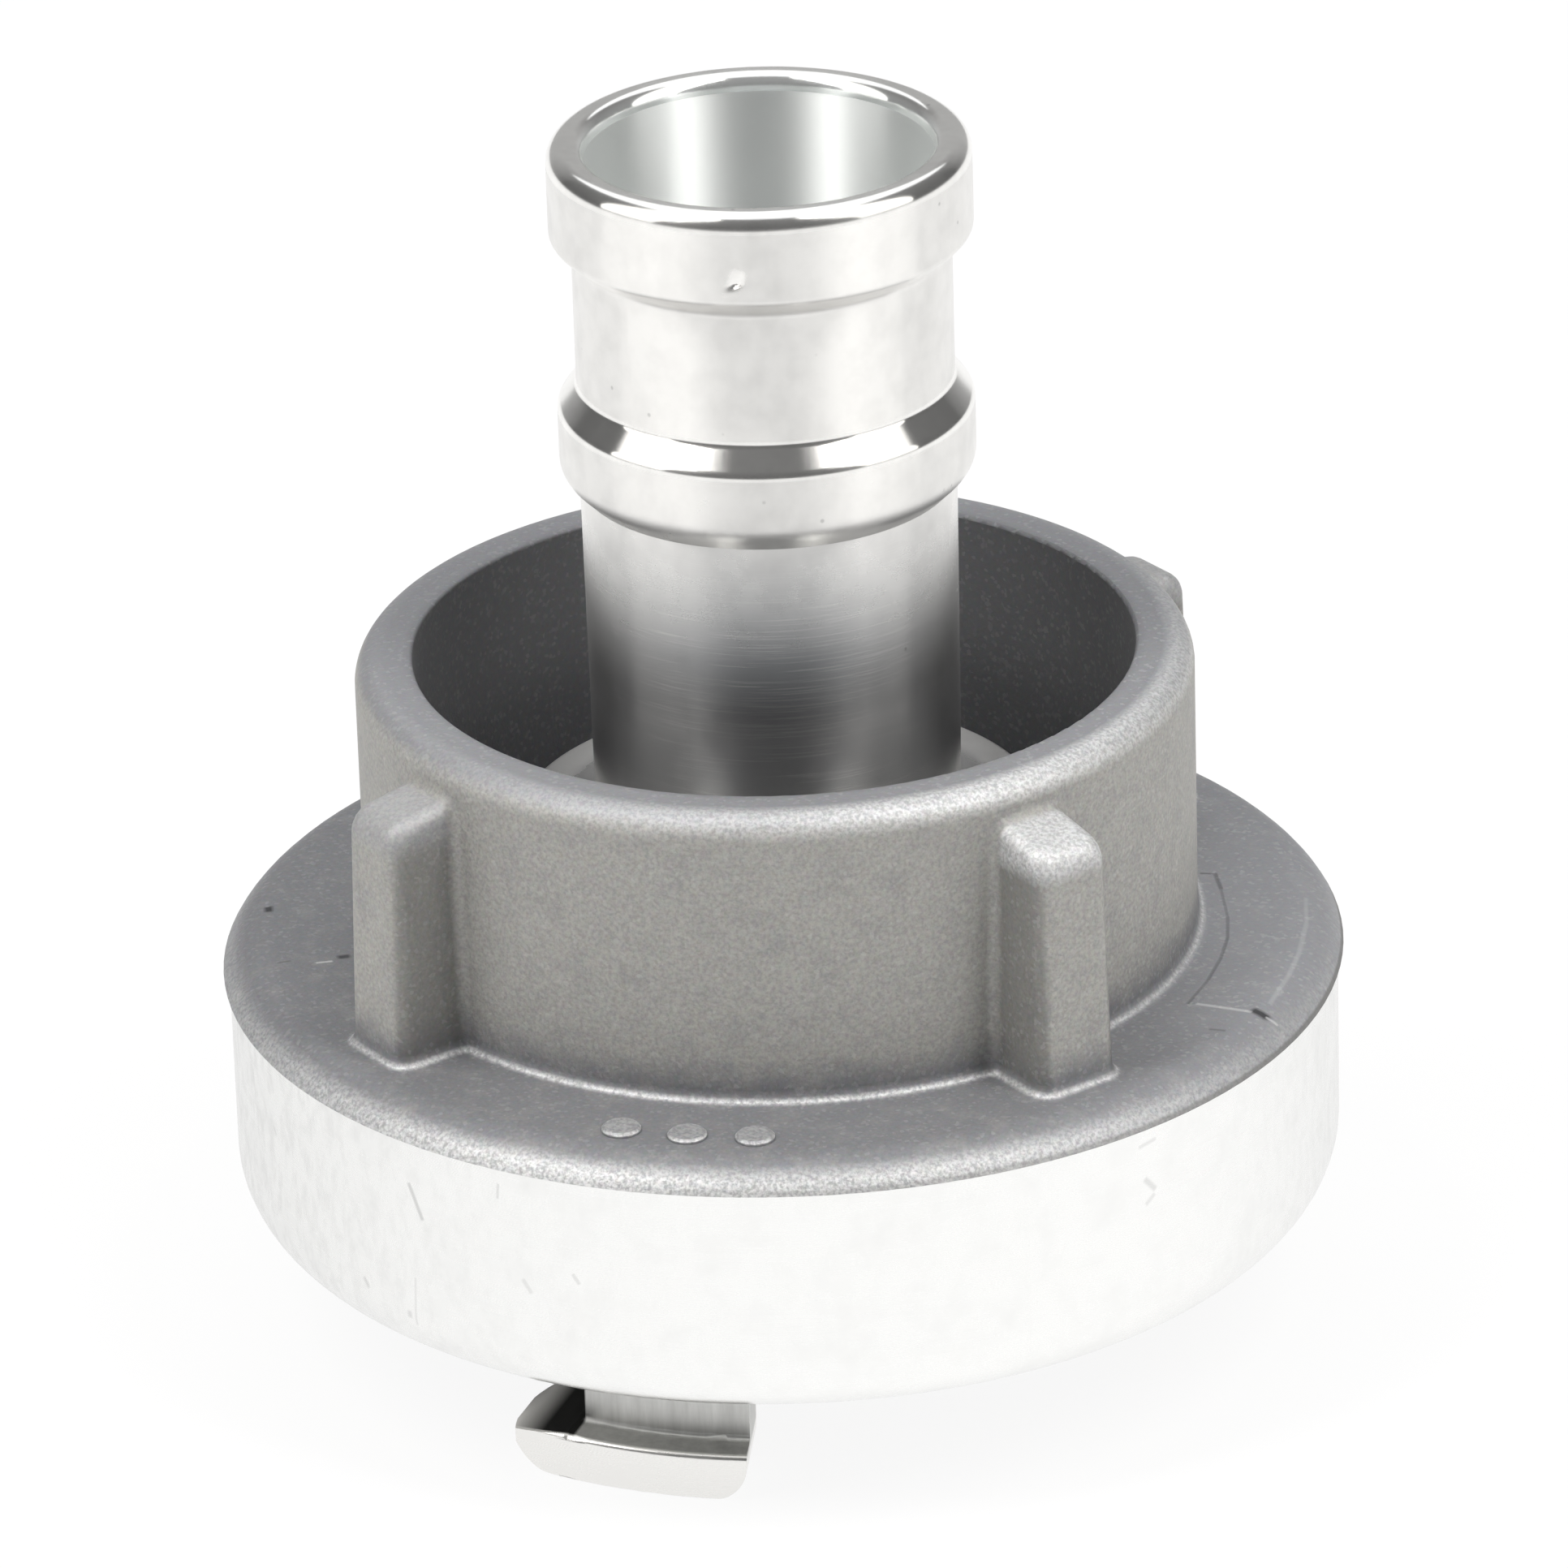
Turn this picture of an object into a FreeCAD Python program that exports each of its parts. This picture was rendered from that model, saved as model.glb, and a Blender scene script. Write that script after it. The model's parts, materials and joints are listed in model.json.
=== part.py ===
import FreeCAD, Part
import math
import os

# Claw coupling half with a beaded hose tail, for a fire hose or suction hose.
# Millimetres. +Z is the axis, from the claws up to the hose end. The origin is on the axis, in the
# plane of the two claw tips that it stands on. The claws lie towards -Y and +Y.
V = FreeCAD.Vector
ORIGIN = V(0, 0, 0)
AXIS = V(0, 0, 1)

# Claws: two hooks that turn outwards, with the plate of each running on past its neck at one end
lug_spacing = 66.0
claw_neck_wall = 5.2
claw_overhang = 3.1
claw_plate = 4.4
claw_neck = 6.9
claw_half_angle = 14.7
claw_heel_rounding = 3.4
claw_edge = 0.5
lead_reach = 11.7
lead_past_neck = 6.5
lead_rounding = 5.0
lead_end_radius = 11.3
lead_slope_length = 5.7
lead_slope_drop = 0.75
claw_count = 2

# Channel behind the lip, where the claws of the other half are turned home
lip_thickness = 6.0
lip_gap = 0.4
lip_edge = 0.8
channel_height = 6.4
channel_gap = 1.3
slot_half_angle = 18.0
ramp_rise = 0.8

# Band and flange of the ring
band_wall = 6.4
band_height = 22.4
band_bottom_rounding = 6.0
casting_allowance = 1.0
flange_crown = 2.5
flange_rounding = 4.6
web_thickness = 10.2
web_rounding = 2.0

# Grip sleeve with its ribs
sleeve_radius = 36.7
sleeve_wall = 5.1
sleeve_height = 26.6
rim_rounding = 2.3
rim_inner_edge = 0.3
foot_rounding = 1.1
rib_count = 4
rib_first_angle = -33.7
rib_width = 7.0
rib_flare = 1.1
rib_set_back = 5.5
rib_below_rim = 2.8
rib_top_fall = 1.7
rib_nose_rounding = 2.4
rib_rounding = 1.5
rib_draft = 1.0

# Three cast pips on the flange
pip_count = 3
pip_radius = 1.7
pip_height = 0.45
pip_spacing = 5.8
pip_set_back = 5.7
pip_angle = 9.5

# Turned tail: bore, tip and beads
bore_radius = 15.0
neck_wall = 1.37
neck_taper = 0.3
tail_above_band = 76.3
tip_bead_rise = 1.9
tip_bead_length = 8.0
tip_outer_rounding = 1.5
tip_inner_rounding = 1.2
bead_fall = 1.6
second_bead_rise = 1.7
second_bead_drop = 23.8
second_bead_length = 5.7
second_bead_shoulder = 2.1
shoulder_edge = 1.2
shoulder_root = 0.8
second_bead_heel = 2.3

# Journal and front flange of the tail
journal_radius = 23.0
journal_above_band = 13.3
journal_edge = 0.5
running_clearance = 0.05
end_play = 0.3
claw_to_flange_gap = 1.0
front_face_depth = 0.4
inlet_wall = 2.2
inlet_depth = 22.0
flange_edge = 0.5

# Snap ring and its groove
snap_wire_radius = 1.0
snap_groove_gap = 0.1
snap_bite = 1.0
snap_split_angle = 24.0

# Gasket and its groove in the front flange
gasket_width = 5.6
gasket_foot_height = 3.0
gasket_catch = 1.0
gasket_catch_height = 2.0
gasket_stand_out = 0.8
gasket_clearance = 0.05
groove_rim = 2.2
gasket_rounding = 0.8

# Radii that follow
claw_inner = lug_spacing / 2
claw_neck_outer = claw_inner + claw_neck_wall
claw_outer = claw_neck_outer + claw_overhang
lip_inner = claw_neck_outer + lip_gap
channel_outer = claw_outer + channel_gap
band_radius = channel_outer + band_wall
rib_reach = band_radius - rib_set_back
pip_circle = band_radius - pip_set_back
sleeve_inner = sleeve_radius - sleeve_wall
web_bore = journal_radius + running_clearance
neck_radius = bore_radius + neck_wall
tip_radius = neck_radius + tip_bead_rise
second_radius = neck_radius + second_bead_rise
front_radius = claw_inner - claw_to_flange_gap
groove_outer = front_radius - groove_rim
groove_inner = groove_outer - gasket_width
inlet_radius = groove_inner - inlet_wall

# Heights that follow, from the claw tips up
claw_ledge = claw_plate
band_bottom = claw_ledge + claw_neck
lip_top = band_bottom + lip_thickness
channel_top = lip_top + channel_height
web_top = channel_top + web_thickness
band_top = band_bottom + band_height
flange_top = band_top + flange_crown
rim_top = flange_top + sleeve_height
tail_top = band_top + tail_above_band
journal_top = band_top + journal_above_band
second_bead_top = tail_top - second_bead_drop + second_bead_shoulder
front_face = band_bottom + front_face_depth
thrust_face = channel_top - end_play
snap_height = web_top + end_play + snap_wire_radius


def outline(corners, place):
    """A closed wire through corners (along, up, rounding); place turns the first two into a point."""
    points = [place(along, up) for along, up, rounding in corners]
    count = len(points)
    ends = []
    for i, (along, up, rounding) in enumerate(corners):
        corner = points[i]
        if rounding == 0:
            ends.append((corner, None, corner))
            continue
        back = points[i - 1].sub(corner).normalize()
        ahead = points[(i + 1) % count].sub(corner).normalize()
        half = back.getAngle(ahead) / 2
        tangent = rounding / math.tan(half)
        middle = back.add(ahead).normalize().multiply(rounding / math.sin(half) - rounding)
        first = corner.add(V(back).multiply(tangent))
        last = corner.add(V(ahead).multiply(tangent))
        ends.append((first, corner.add(middle), last))
    edges = []
    for i, (first, middle, last) in enumerate(ends):
        if middle is not None:
            edges.append(Part.Arc(first, middle, last).toShape())
        following = ends[(i + 1) % count][0]
        if last.distanceToPoint(following) > 1e-6:
            edges.append(Part.LineSegment(last, following).toShape())
    return Part.Wire(edges)


def section_point(radius, height):
    """A point of a half section, in the plane of X and Z."""
    return V(radius, 0, height)


def side_point(reach, height):
    """A point of a side view, in the plane of Y and Z, reaching towards -Y."""
    return V(0, -reach, height)


def plan_point(across, reach):
    """A point of a plan view, reaching towards -Y."""
    return V(across, -reach, 0)


def turned(corners):
    """A solid of revolution about the axis, from the corners of its half section."""
    return Part.Face(outline(corners, section_point)).revolve(ORIGIN, AXIS, 360)


def turn_about_axis(shape, angle):
    """A copy of the shape, turned about the axis by an angle in degrees."""
    copy = shape.copy()
    copy.rotate(ORIGIN, AXIS, angle)
    return copy


def front_prism(corners, depth):
    """A prism along -Y whose front view, across X and up Z, has these corners."""
    face = Part.Face(outline(corners, section_point))
    return face.extrude(V(0, -depth, 0))


def sector(inner, outer, low, high, first_angle, last_angle):
    """Part of a ring between two radii, two heights and two angles, measured from -Y towards +X."""
    blank = Part.Face(
        outline([(inner, low, 0), (outer, low, 0), (outer, high, 0), (inner, high, 0)], section_point)
    )
    blank.rotate(ORIGIN, AXIS, first_angle - 90)
    return blank.revolve(ORIGIN, AXIS, last_angle - first_angle)


def ring_casting():
    """The round body of the ring: band, flange, sleeve, web and the channel behind the lip."""
    blank_radius = band_radius + casting_allowance
    body = turned(
        [
            (lip_inner, band_bottom, lip_edge),
            (blank_radius, band_bottom, band_bottom_rounding + casting_allowance),
            (blank_radius, flange_top, flange_rounding),
            (sleeve_radius, flange_top, 0),
            (sleeve_radius, rim_top, rim_rounding),
            (sleeve_inner, rim_top, rim_inner_edge),
            (sleeve_inner, web_top, web_rounding),
            (web_bore, web_top, 0),
            (web_bore, channel_top, 0),
            (channel_outer, channel_top, 0),
            (channel_outer, lip_top, 0),
            (lip_inner, lip_top, 0),
        ]
    )
    machined_band = turned(
        [
            (0, band_bottom - 1, 0),
            (band_radius - band_bottom_rounding, band_bottom - 1, 0),
            (band_radius - band_bottom_rounding, band_bottom, 0),
            (band_radius, band_bottom, band_bottom_rounding),
            (band_radius, band_top, 0),
            (blank_radius + 1, band_top, 0),
            (blank_radius + 1, rim_top + 1, 0),
            (0, rim_top + 1, 0),
        ]
    )
    return body.common(machined_band)


def rib():
    """One grip rib, reaching towards -Y, drafted on three sides, with a falling top and a round nose."""
    low = flange_top - 1.0
    high = rim_top - rib_below_rim
    root = sleeve_radius - sleeve_wall / 2
    lean = (high - low) * math.tan(math.radians(rib_draft))
    side_view = Part.Face(
        outline(
            [
                (root, low, 0),
                (rib_reach, low, 0),
                (rib_reach - lean, high - rib_top_fall, rib_nose_rounding),
                (root, high, 0),
            ],
            side_point,
        )
    )
    side_view.translate(V(-rib_width, 0, 0))
    block = side_view.extrude(V(2 * rib_width, 0, 0))
    half_foot = (rib_width + rib_flare) / 2
    half_top = rib_width / 2
    front_view = front_prism(
        [(-half_foot, low, 0), (half_foot, low, 0), (half_top, high, 0), (-half_top, high, 0)],
        rib_reach + 1,
    )
    block = block.common(front_view)
    side_edges = []
    for edge in block.Edges:
        box = edge.BoundBox
        on_foot = box.ZMax < low + 0.1
        at_root = box.YMin > -root - 0.1
        across = box.XLength > rib_width / 2
        if not on_foot and not at_root and not across:
            side_edges.append(edge)
    return block.makeFillet(rib_rounding, side_edges)


def with_soft_feet(ring):
    """The ring with a casting's fillets along the feet of the sleeve and ribs and up the ribs' corners."""
    edges = []
    for edge in ring.Edges:
        middle = edge.valueAt((edge.FirstParameter + edge.LastParameter) / 2)
        radius = math.hypot(middle.x, middle.y)
        box = edge.BoundBox
        on_flange = abs(box.ZMin - flange_top) < 0.01 and abs(box.ZMax - flange_top) < 0.01
        beside_rib = abs(radius - sleeve_radius) < 0.05 and box.ZLength > sleeve_height / 2
        is_seam = abs(middle.y) < 0.01
        if on_flange and radius < rib_reach + foot_rounding:
            edges.append(edge)
        elif beside_rib and not is_seam:
            edges.append(edge)
    return ring.makeFillet(foot_rounding, edges)


def claw():
    """One claw, reaching down on the -Y side: its hook, its neck and the root block inside the ring."""
    top = channel_top + 1.0
    hook = turned(
        [
            (claw_inner, 0, claw_edge),
            (claw_outer, 0, claw_edge),
            (claw_outer, claw_ledge, claw_edge),
            (claw_neck_outer, claw_ledge, claw_edge),
            (claw_neck_outer, top, 0),
            (claw_inner, top, 0),
        ]
    )
    root = turned(
        [
            (claw_inner, lip_top, 0),
            (channel_outer + 1, lip_top, 0),
            (channel_outer + 1, top, 0),
            (claw_inner, top, 0),
        ]
    )
    lip_bridge = turned(
        [
            (claw_inner, band_bottom + lip_edge, 0),
            (lip_inner + 1, band_bottom + lip_edge, 0),
            (lip_inner + 1, lip_top + 1, 0),
            (claw_inner, lip_top + 1, 0),
        ]
    )
    lead_view = front_prism(
        [
            (-lead_reach, 0, lead_rounding),
            (claw_outer, 0, 0),
            (claw_outer, top, 0),
            (-lead_reach, top, 0),
        ],
        channel_outer + 2,
    )
    neck_side = lead_past_neck - lead_reach
    slope_start = lead_slope_length - lead_reach
    fall = lead_slope_drop / lead_slope_length
    beside_neck = front_prism(
        [
            (-lead_reach - 1, claw_ledge - lead_slope_drop - fall, 0),
            (slope_start, claw_ledge, 0),
            (neck_side, claw_ledge, claw_edge),
            (neck_side, top + 1, 0),
            (-lead_reach - 1, top + 1, 0),
        ],
        channel_outer + 2,
    )
    heel_view = front_prism(
        [
            (-claw_outer, 0, 0),
            (0, 0, claw_heel_rounding),
            (0, top, 0),
            (-claw_outer, top, 0),
        ],
        channel_outer + 2,
    )
    heel_view = turn_about_axis(heel_view, claw_half_angle)
    # The lead end bulges a little in plan
    middle = (claw_inner + claw_outer) / 2 * math.cos(math.radians(claw_half_angle))
    lead_plan = Part.Face(
        outline(
            [
                (-lead_reach, middle - lead_end_radius, lead_end_radius),
                (-lead_reach, middle + lead_end_radius, lead_end_radius),
                (claw_outer, middle + lead_end_radius, 0),
                (claw_outer, middle - lead_end_radius, 0),
            ],
            plan_point,
        )
    )
    hook = hook.common(lead_plan.extrude(V(0, 0, top)))
    whole = hook.fuse([root, lip_bridge])
    return whole.common(lead_view).cut(beside_neck).common(heel_view)


def claw_slot():
    """The notch in the lip, towards -Y, through which a claw of the other half goes in."""
    return sector(
        lip_inner - 1, channel_outer, band_bottom - 1, lip_top + 1, -slot_half_angle, slot_half_angle
    )


def lip_ramp():
    """The slope on the lip's back, from the slot at +X to the far claw, that draws the halves tight."""
    start = 90 + slot_half_angle
    end = 180 - claw_half_angle
    low = lip_top - lip_thickness / 2
    run = channel_outer * math.sin(math.radians(end - start))
    fall = ramp_rise / run
    blank = sector(lip_inner, channel_outer + 1, low, lip_top + 2 * ramp_rise, start - 2, end + 2)
    slope = front_prism(
        [
            (-run, low, 0),
            (2 * run, low, 0),
            (2 * run, lip_top + fall * 2 * run, 0),
            (-run, lip_top - fall * run, 0),
        ],
        channel_outer + 2,
    )
    return blank.common(turn_about_axis(slope, start))


def pip():
    """One low cast pip with a sloping edge, standing on the flange on the -Y side."""
    edge = pip_height / 2
    cone = turned(
        [
            (0, flange_top - 0.5, 0),
            (pip_radius, flange_top - 0.5, 0),
            (pip_radius, flange_top + pip_height - edge, 0),
            (pip_radius - edge, flange_top + pip_height, 0),
            (0, flange_top + pip_height, 0),
        ]
    )
    cone.translate(V(0, -pip_circle, 0))
    return cone


def claw_ring():
    """The casting with its ribs, claws, slots and pips."""
    ring = ring_casting()
    for i in range(rib_count):
        ring = ring.fuse(turn_about_axis(rib(), rib_first_angle + i * 360 / rib_count))
    ring = with_soft_feet(ring.removeSplitter())
    for i in range(claw_count):
        ring = ring.fuse(turn_about_axis(lip_ramp(), i * 360 / claw_count))
    for i in range(claw_count):
        ring = ring.cut(turn_about_axis(claw_slot(), 90 + i * 360 / claw_count))
    for i in range(claw_count):
        ring = ring.fuse(turn_about_axis(claw(), i * 360 / claw_count))
    step = math.degrees(pip_spacing / pip_circle)
    for i in range(pip_count):
        ring = ring.fuse(turn_about_axis(pip(), pip_angle + (i - (pip_count - 1) / 2) * step))
    return ring.removeSplitter()


def hose_tail():
    """The turned tail, from its front flange up to the hose tip, with its flared bore and grooves."""
    neck_foot = neck_radius - neck_taper
    tip_bead_bottom = tail_top - tip_bead_length
    second_bead_bottom = second_bead_top - second_bead_shoulder - second_bead_length
    tail = turned(
        [
            (inlet_radius, front_face, 0),
            (front_radius, front_face, flange_edge),
            (front_radius, thrust_face, flange_edge),
            (journal_radius, thrust_face, 0),
            (journal_radius, journal_top, journal_edge),
            (neck_foot, journal_top, 0),
            (neck_radius, second_bead_bottom - second_bead_rise, 0),
            (second_radius, second_bead_bottom, second_bead_heel),
            (second_radius, second_bead_top - second_bead_shoulder, shoulder_edge),
            (neck_radius, second_bead_top, shoulder_root),
            (neck_radius, tip_bead_bottom - bead_fall, 1.0),
            (tip_radius, tip_bead_bottom, 0.8),
            (tip_radius, tail_top, tip_outer_rounding),
            (bore_radius, tail_top, tip_inner_rounding),
            (bore_radius, front_face + inlet_depth, 6.0),
        ]
    )
    groove_depth = snap_bite + snap_groove_gap
    groove_half = snap_wire_radius + snap_groove_gap
    snap_groove = turned(
        [
            (journal_radius - groove_depth, snap_height - groove_half, 0),
            (journal_radius + 1, snap_height - groove_half, 0),
            (journal_radius + 1, snap_height + groove_half, 0),
            (journal_radius - groove_depth, snap_height + groove_half, 0),
        ]
    )
    catch_top = front_face + gasket_catch_height
    groove_top = catch_top + gasket_foot_height
    gasket_groove = turned(
        [
            (groove_inner, front_face - 1, 0),
            (groove_outer - gasket_catch, front_face - 1, 0),
            (groove_outer - gasket_catch, catch_top, 0),
            (groove_outer, catch_top, 0),
            (groove_outer, groove_top, 0),
            (groove_inner, groove_top, 0),
        ]
    )
    return tail.cut(snap_groove).cut(gasket_groove)


def snap_ring():
    """The split ring of round spring wire that sits in the journal's groove, above the web."""
    centre = V(journal_radius - snap_bite + snap_wire_radius, 0, snap_height)
    wire_section = Part.Face(Part.Wire(Part.makeCircle(snap_wire_radius, centre, V(0, 1, 0))))
    wire_section.rotate(ORIGIN, AXIS, snap_split_angle / 2)
    return wire_section.revolve(ORIGIN, AXIS, 360 - snap_split_angle)


def gasket():
    """The rubber ring: a foot that the flange's catch holds, and a lip that stands out of the front."""
    low = band_bottom - gasket_stand_out
    catch_top = front_face + gasket_catch_height + gasket_clearance
    top = front_face + gasket_catch_height + gasket_foot_height - gasket_clearance
    inner = groove_inner + gasket_clearance
    neck = groove_outer - gasket_catch - gasket_clearance
    foot = groove_outer - gasket_clearance
    return turned(
        [
            (inner, low, gasket_rounding),
            (neck, low, gasket_rounding),
            (neck, catch_top, 0),
            (foot, catch_top, 0),
            (foot, top, 0),
            (inner, top, 0),
        ]
    )


os.makedirs("parts", exist_ok=True)
nodes = {
    "claw_ring": claw_ring(),
    "hose_tail": hose_tail(),
    "snap_ring": snap_ring(),
    "gasket": gasket(),
}
for name, shape in nodes.items():
    shape.exportStep("parts/" + name + ".step")
    print(name, "solids", len(shape.Solids), "valid", shape.isValid(), "volume", round(shape.Volume, 1))
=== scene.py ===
"""A claw hose coupling half with a beaded hose tail: its surfaces, finishes, studio and camera.

Every size is in metres. The axis of the coupling is Z, its claws stand on the floor at Z = 0 and lie
towards -Y and +Y. Angles round the axis start at -Y and grow towards +X.
"""

import json
import math

import bpy
import numpy as np
from mathutils import Matrix, Vector


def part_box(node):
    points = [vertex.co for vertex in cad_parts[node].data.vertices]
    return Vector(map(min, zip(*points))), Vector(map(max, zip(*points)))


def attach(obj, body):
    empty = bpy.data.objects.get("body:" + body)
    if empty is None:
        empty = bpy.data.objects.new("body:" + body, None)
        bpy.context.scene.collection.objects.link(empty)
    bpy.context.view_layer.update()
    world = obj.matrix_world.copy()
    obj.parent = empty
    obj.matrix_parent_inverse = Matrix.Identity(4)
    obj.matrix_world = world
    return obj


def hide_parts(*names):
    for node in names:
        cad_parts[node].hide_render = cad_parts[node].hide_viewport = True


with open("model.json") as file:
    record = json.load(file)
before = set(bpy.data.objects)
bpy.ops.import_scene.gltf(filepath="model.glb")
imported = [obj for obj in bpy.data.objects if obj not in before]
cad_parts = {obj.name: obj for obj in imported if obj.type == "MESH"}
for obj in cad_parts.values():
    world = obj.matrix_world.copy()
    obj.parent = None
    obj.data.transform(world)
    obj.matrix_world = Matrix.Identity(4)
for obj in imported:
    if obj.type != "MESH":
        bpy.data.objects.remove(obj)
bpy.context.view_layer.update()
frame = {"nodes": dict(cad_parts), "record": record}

bl_info = {
    "name": "Claw coupling with hose tail",
    "version": (1, 0, 0),
    "blender": (4, 5, 0),
    "location": "View3D > Sidebar > Coupling",
    "description": "Makes the pieces, finishes and studio of a claw hose coupling",
    "category": "Object",
}

MM = 0.001

MOUNTS = {mount["name"]: mount for mount in frame["record"]["mounts"]}
HOSE_SEAT_RADIUS = MOUNTS["hose_seat"]["dims"]["r_mm"] * MM
BORE_RADIUS = MOUNTS["water_bore"]["dims"]["r_mm"] * MM
TAIL_LOW, TAIL_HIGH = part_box("hose_tail")
RING_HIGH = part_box("claw_ring")[1]
SPRING_LOW, SPRING_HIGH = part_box("snap_ring")
GASKET_LOW, GASKET_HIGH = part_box("gasket")
GASKET_WIDTH = 5.5 * MM
GASKET_INNER = GASKET_HIGH.x - GASKET_WIDTH

# Heights, radii and half widths on the ring, where its finishes change.
BAND_BOTTOM = 11.3 * MM
BAND_TOP = 33.7 * MM
FLANGE_TOP = 36.2 * MM
FLANGE_ROUNDING = 44 * MM
SLEEVE_INNER = 31.6 * MM
SLEEVE_OUTER = 36.7 * MM
RIB_ANGLE = math.radians(-33.7)
RIB_TOP_SIDE = 3.2 * MM
RIB_ROOT_SIDE = 4.7 * MM
CLAW_LEDGE = 4.4 * MM
CLAW_OUTER = 41.3 * MM
CLAW_NECK_SIDE = -5.2 * MM

# Sides on which painted highlights, painted shade and the seam lie thickest, as angles round the axis.
RIM_HIGHLIGHT_SIDE = math.radians(60)
EDGE_HIGHLIGHT_SIDE = math.radians(8)
SEAM_SIDE = math.radians(105)
BAND_SHADE_SIDE = math.radians(-75)
NECK_SHADE_SIDE = math.radians(21)

# Steps of the turned surfaces and the wire, and the closer ones about the nick.
TAIL_STEPS = 224
GASKET_STEPS = 160
WIRE_STEPS = 24
WIRE_ROWS = 121
WIRE_END_ROWS = 9
NICK_STEPS = 40
NICK_ROWS = 24
NICK_REACH = math.radians(6)
NICK_ROWS_BELOW = 1 * MM
NICK_ROWS_ABOVE = 1.9 * MM

# Reach of the nick towards the ring, towards the tip and aside, and how far it leans.
NICK_RINGWARD = 0.4 * MM
NICK_TIPWARD = 1.1 * MM
NICK_ASIDE = 0.55 * MM
NICK_LEAN = 0.5

# The bright metal beside the nick is one stroke: its start and end from the nick, round the tail
# and up, and its width.
SHINE_START = (0.1 * MM, 0.3 * MM)
SHINE_END = (0.25 * MM, 0.65 * MM)
SHINE_WIDTH = 1.1 * MM

# Marks seen in the photograph, in mm: start, end, width and strength of each stroke. Those of the
# flange are in its plane; those of the band run round it from -Y towards +X, and up.
FLANGE_NICKS = (
    ((32.6, 19.3), (33.8, 19.5), 0.3, 0.5),
    ((33.8, 19.5), (35.2, 16.8), 0.35, 0.5),
    ((35.2, 16.8), (37.6, 11.4), 0.25, 0.3),
    ((37.6, 11.4), (38.9, 7.4), 0.3, 0.38),
    ((38.9, 7.4), (39.6, 3.4), 0.3, 0.42),
    ((39.6, 3.4), (39.9, -1.2), 0.3, 0.38),
    ((39.9, -1.2), (39.7, -6.0), 0.3, 0.34),
    ((45.8, -5.7), (46.6, -5.9), 0.9, 1.0),
    ((43.2, -10.3), (44.3, -10.2), 0.35, 0.35),
    ((-44.4, -11.5), (-44.2, -11.9), 0.7, 1.0),
    ((-34.3, -18.9), (-34.0, -18.7), 0.7, 0.9),
    ((-39.2, -21.6), (-38.4, -21.0), 0.25, 0.4),
)
FLANGE_SCRAPES = (
    ((40.6, -5.9), (45.3, -6.0), 0.4, 0.45),
    ((46.9, -6.0), (47.7, -6.0), 0.3, 0.5),
    ((43.0, 17.2), (44.6, 12.3), 0.35, 0.14),
    ((44.6, 12.3), (45.8, 6.5), 0.4, 0.16),
    ((45.8, 6.5), (46.3, 1.9), 0.4, 0.18),
    ((46.3, 1.9), (46.4, -3.6), 0.4, 0.16),
    ((-35.9, -20.6), (-34.9, -20.0), 0.3, 0.6),
)
BAND_SCRATCHES = (
    ((-17.9, 29.4), (-16.6, 26.6), 0.4, 0.6),
    ((-18.6, 16.6), (-18.6, 16.8), 0.5, 0.4),
    ((-44.1, 30.2), (-43.7, 27.9), 0.3, 0.3),
    ((-39.0, 26.9), (-38.6, 26.5), 0.4, 0.3),
    ((-8.2, 32.0), (-8.3, 30.8), 0.25, 0.35),
    ((-24.2, 18.2), (-23.8, 17.7), 0.4, 0.4),
    ((-6.0, 23.3), (-5.4, 22.4), 0.4, 0.3),
    ((-1.2, 24.7), (-0.8, 24.1), 0.35, 0.35),
    ((-17.7, 20.4), (-17.9, 15.9), 0.25, 0.25),
    ((50.6, 32.0), (52.2, 32.2), 0.35, 0.3),
    ((51.2, 28.6), (52.1, 27.6), 0.5, 0.4),
    ((52.0, 26.9), (51.3, 26.4), 0.4, 0.3),
)


def length(name, text, default):
    """A length property in metres."""
    return bpy.props.FloatProperty(
        name=name, description=text, default=default, unit="LENGTH", precision=5
    )


def rotation(name, text, degrees):
    """An angle property, whose default is given in degrees."""
    return bpy.props.FloatProperty(
        name=name, description=text, default=math.radians(degrees), subtype="ANGLE"
    )


def share(name, text, default):
    """A property from 0 to 1."""
    return bpy.props.FloatProperty(
        name=name, description=text, default=default, min=0.0, max=1.0, subtype="FACTOR"
    )


def colour(name, text, default):
    """A colour property with red, green and blue from 0 to 1."""
    return bpy.props.FloatVectorProperty(
        name=name, description=text, default=default, min=0.0, max=1.0, size=3, subtype="COLOR"
    )


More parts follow.
